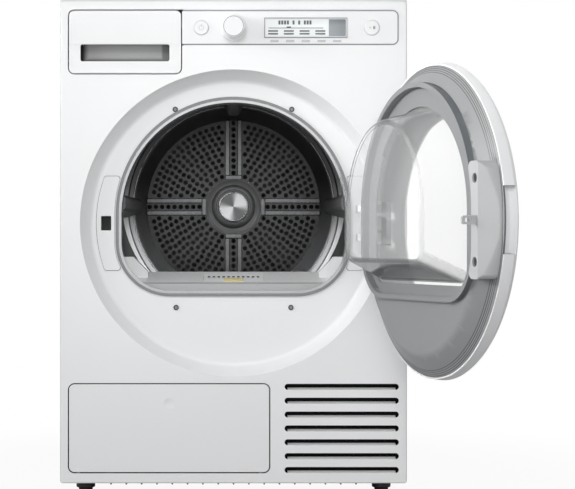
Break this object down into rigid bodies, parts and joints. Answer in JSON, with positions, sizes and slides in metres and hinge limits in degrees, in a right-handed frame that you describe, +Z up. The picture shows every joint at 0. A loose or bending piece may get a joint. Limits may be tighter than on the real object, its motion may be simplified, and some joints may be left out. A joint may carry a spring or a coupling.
{
  "type": "clothes dryer",
  "caption": "Free-standing front-loading heat-pump clothes dryer with a round door standing open, a water-tank drawer, knob, display, lint filter and belt-driven drum.",
  "frame": {"origin": "on the floor under the middle of the cabinet", "axes": "+X to the right seen from the front, +Y to the back, +Z up"},
  "size_m": [0.7181, 1.0937, 0.85],
  "materials": {
    "white_enamel": "gloss",
    "white_plastic": "gloss",
    "grey_plastic": "satin",
    "dark_plastic": "matte",
    "clear_plastic": "clear",
    "drum_steel": "brushed",
    "bright_trim": "polished",
    "black_rubber": "matte",
    "yellow_plastic": "satin",
    "display_glass": "gloss",
    "zinc_steel": "matte",
    "coil_aluminium": "satin",
    "black_iron": "satin"
  },
  "bodies": {
    "cabinet": {"base_tray": "dark_plastic", "feet": "dark_plastic", "right_side_panel": "white_enamel", "left_side_panel": "white_enamel", "worktop": "white_enamel", "front_panel": "white_enamel", "recess_screws": "zinc_steel", "lock_plate": "white_plastic", "hinge_plate": "white_plastic", "hinge_bracket": "zinc_steel", "control_fascia": "white_plastic", "display_window": "display_glass", "soft_keys": "white_plastic", "drawer_housing": "dark_plastic", "flap_frame": "dark_plastic", "rear_panel": "zinc_steel", "rear_duct_cover": "zinc_steel", "drain_spigot": "dark_plastic", "mains_inlet": "dark_plastic", "front_bulkhead": "zinc_steel", "tunnel": "grey_plastic", "opening_trim": "bright_trim", "door_seal": "grey_plastic", "filter_ledge": "grey_plastic", "roller_axles": "zinc_steel", "bearing_bracket": "zinc_steel", "motor": "black_iron", "fan_housing": "dark_plastic", "idler_bracket": "zinc_steel", "drive_belt": "black_rubber", "heat_exchangers": "coil_aluminium", "compressor": "black_iron"},
    "door": {"door_outer_ring": "white_plastic", "grip_insert": "grey_plastic", "door_window": "clear_plastic", "door_inner_trim": "grey_plastic", "door_bowl": "clear_plastic", "latch_cover": "grey_plastic", "latch_screws": "zinc_steel", "latch_hook": "white_plastic", "hinge_carrier": "zinc_steel", "hinge_pin": "zinc_steel"},
    "drawer": {"drawer_front": "white_plastic", "water_tank": "grey_plastic"},
    "knob": {"knob": "white_plastic"},
    "power_button": {"power_button": "white_plastic"},
    "start_button": {"start_button": "white_plastic"},
    "flap": {"flap": "white_plastic"},
    "left_lever": {"left_lever": "grey_plastic"},
    "right_lever": {"right_lever": "grey_plastic"},
    "lint_filter": {"lint_filter": "grey_plastic", "filter_tab": "yellow_plastic"},
    "drum": {"drum_shell": "drum_steel", "drum_rear_wall": "drum_steel", "drum_hub": "drum_steel", "lifters": "grey_plastic"},
    "rotor": {"rotor": "coil_aluminium"},
    "idler_pulley": {"idler_pulley": "dark_plastic"},
    "left_roller": {"left_roller": "black_rubber"},
    "right_roller": {"right_roller": "black_rubber"}
  },
  "joints": [
    {"name": "door_hinge", "type": "hinge", "parent": "cabinet", "child": "door", "pos_m": [0.24, -0.308, 0.4676], "axis": [0, 0, 1], "range_deg": [-109.7, 0]},
    {"name": "drawer_slide", "type": "slide", "parent": "cabinet", "child": "drawer", "axis": [0, -1, 0], "range_m": [0, 0.4]},
    {"name": "knob_turn", "type": "hinge", "parent": "cabinet", "child": "knob", "pos_m": [0, -0.3, 0.8025], "axis": [0, 1, 0], "continuous": true},
    {"name": "power_press", "type": "slide", "parent": "cabinet", "child": "power_button", "axis": [0, 1, 0], "range_m": [0, 0.0015], "stiffness_N_per_m": 700},
    {"name": "start_press", "type": "slide", "parent": "cabinet", "child": "start_button", "axis": [0, 1, 0], "range_m": [0, 0.0015], "stiffness_N_per_m": 700},
    {"name": "flap_hinge", "type": "hinge", "parent": "cabinet", "child": "flap", "pos_m": [-0.1105, -0.295, 0.0321], "axis": [1, 0, 0], "range_deg": [0, 90]},
    {"name": "left_lever_turn", "type": "hinge", "parent": "cabinet", "child": "left_lever", "pos_m": [-0.2403, -0.26, 0.11555], "axis": [0, 1, 0], "range_deg": [0, 90]},
    {"name": "right_lever_turn", "type": "hinge", "parent": "cabinet", "child": "right_lever", "pos_m": [0.0193, -0.26, 0.11555], "axis": [0, 1, 0], "range_deg": [0, 90]},
    {"name": "filter_lift", "type": "slide", "parent": "cabinet", "child": "lint_filter", "axis": [0, 0, 1], "range_m": [0, 0.2]},
    {"name": "drum_spin", "type": "hinge", "parent": "cabinet", "child": "drum", "pos_m": [0, 0, 0.505], "axis": [0, 1, 0], "continuous": true},
    {"name": "rotor_spin", "type": "hinge", "parent": "cabinet", "child": "rotor", "pos_m": [0.185, 0, 0.128], "axis": [0, 1, 0], "continuous": true},
    {"name": "idler_spin", "type": "hinge", "parent": "cabinet", "child": "idler_pulley", "pos_m": [0.092, 0, 0.16], "axis": [0, 1, 0], "continuous": true},
    {"name": "left_roller_spin", "type": "hinge", "parent": "cabinet", "child": "left_roller", "pos_m": [-0.17982, 0, 0.2482], "axis": [0, 1, 0], "continuous": true},
    {"name": "right_roller_spin", "type": "hinge", "parent": "cabinet", "child": "right_roller", "pos_m": [0.17982, 0, 0.2482], "axis": [0, 1, 0], "continuous": true}
  ],
  "couplings": [
    {"joint": "rotor_spin", "follows": "drum_spin", "ratio": 23.583},
    {"joint": "idler_spin", "follows": "drum_spin", "ratio": 15.722},
    {"joint": "left_roller_spin", "follows": "drum_spin", "ratio": -9.4333},
    {"joint": "right_roller_spin", "follows": "drum_spin", "ratio": -9.4333}
  ]
}
